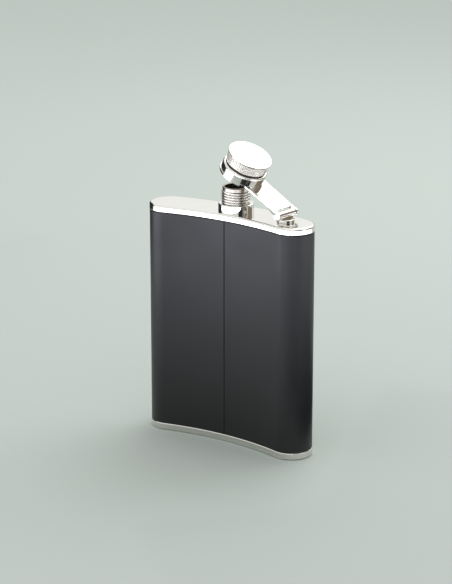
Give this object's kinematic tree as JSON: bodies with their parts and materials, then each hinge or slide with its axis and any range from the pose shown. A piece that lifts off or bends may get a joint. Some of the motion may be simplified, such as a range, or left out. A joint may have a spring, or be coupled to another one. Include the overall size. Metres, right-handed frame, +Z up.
{
  "type": "hip flask",
  "caption": "Curved pocket flask of polished steel in a black leather wrap, with a threaded neck and a knurled screw cap held on a hinged arm.",
  "frame": {"origin": "where the neck's axis meets the plane of the base", "axes": "+Z up along the neck's axis, +X along the width towards the hinge, +Y through the thickness towards the bulging side, so the hollow side faces -Y"},
  "size_m": [0.094, 0.0264, 0.1516],
  "materials": {
    "steel_polished": "mirror-polished stainless steel",
    "steel_brushed": "plain stainless steel as drawn",
    "leather_black": "smooth bonded leather, soft sheen",
    "nylon_black": "matt black nylon",
    "silicone_milky": "translucent milky silicone"
  },
  "bodies": {
    "flask": {"body_tube": "steel_brushed", "top_plate": "steel_polished", "bottom_plate": "steel_polished", "leather_wrap": "leather_black", "neck_collar": "steel_polished", "neck_spout": "steel_polished", "hinge_foot": "steel_polished", "hinge_knuckle": "steel_polished"},
    "arm": {"hinge_pin": "steel_polished", "arm_strap": "steel_polished", "swivel_cup": "steel_polished"},
    "washer": {"swivel_washer": "nylon_black"},
    "cap": {"cap_head": "steel_polished", "cap_top_disc": "steel_polished", "cap_sleeve": "steel_brushed", "cap_gasket": "silicone_milky", "cap_retainer": "steel_brushed"}
  },
  "joints": [
    {"name": "arm_hinge", "type": "hinge", "parent": "flask", "child": "arm", "pos_m": [0.0315, -0.00348, 0.12115], "axis": [0.1098, 0.994, 0], "range_deg": [-27, 153]},
    {"name": "cap_lift", "type": "slide", "parent": "arm", "child": "washer", "axis": [0.4512, -0.0499, 0.891], "range_m": [0, 0.0035]},
    {"name": "cap_spin", "type": "hinge", "parent": "washer", "child": "cap", "pos_m": [0.00382, -0.00042, 0.13629], "axis": [0.4512, -0.0499, 0.891], "continuous": true}
  ]
}
